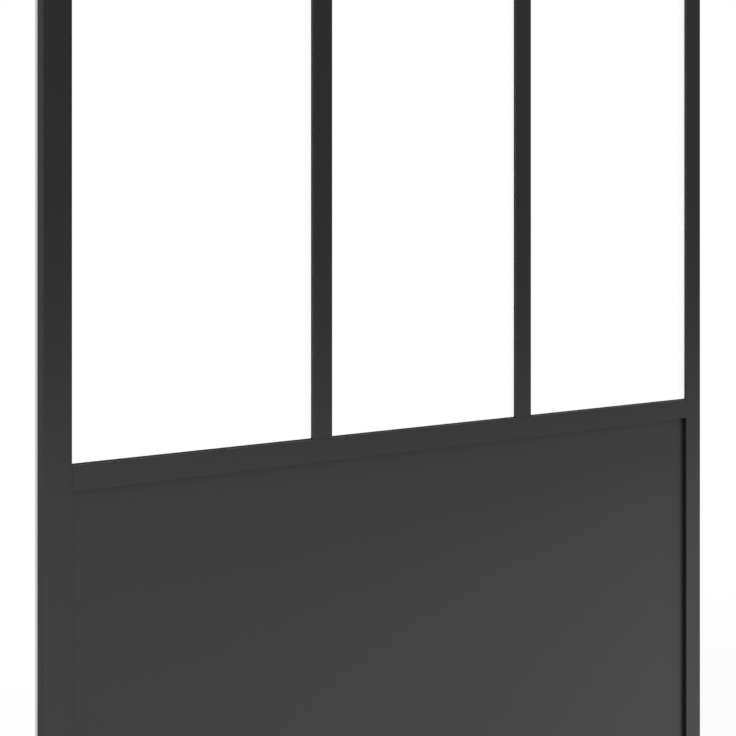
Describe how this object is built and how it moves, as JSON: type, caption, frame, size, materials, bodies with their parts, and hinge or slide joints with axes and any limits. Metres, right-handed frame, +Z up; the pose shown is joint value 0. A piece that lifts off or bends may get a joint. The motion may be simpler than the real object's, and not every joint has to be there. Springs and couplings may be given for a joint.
{
  "type": "shower screen",
  "caption": "Framed fixed shower screen with a wall channel, tall clear panes between slim dark bars and a solid dark lower panel.",
  "frame": {"origin": "on the wall face of the screen, in the middle of its depth, at floor level", "axes": "+X from the wall to the free edge, +Y from the front to the back, +Z up"},
  "size_m": [0.99, 0.021, 2],
  "materials": {
    "frame": "satin dark powder coat",
    "cap": "dark moulded plastic",
    "glass": "clear",
    "gasket": "matt black",
    "seal": "pale grey, matt",
    "panel": "satin dark powder coat"
  },
  "bodies": {
    "root": {"wall_channel": "frame", "wall_post": "frame", "free_post": "frame", "top_rail": "frame", "mid_rail": "frame", "bottom_rail": "frame", "glazing_bar_1": "frame", "glazing_bar_2": "frame", "bar_cap_1": "frame", "bar_cap_2": "frame", "pane_bead_wall": "frame", "pane_bead_free": "frame", "pane_bead_top": "frame", "pane_bead_bottom": "frame", "panel_bead_wall": "frame", "panel_bead_free": "frame", "panel_bead_top": "frame", "panel_bead_bottom": "frame", "wall_post_cap": "cap", "free_post_cap": "cap", "wall_post_foot": "cap", "free_post_foot": "cap", "wall_seal": "seal", "glass_pane_1": "glass", "glass_pane_2": "glass", "glass_pane_3": "glass", "pane_gasket_1": "gasket", "pane_gasket_2": "gasket", "pane_gasket_3": "gasket", "pane_blocks": "gasket", "panel_gasket": "gasket", "panel_blocks": "gasket", "floor_seal": "gasket", "lower_panel": "panel"}
  },
  "joints": []
}
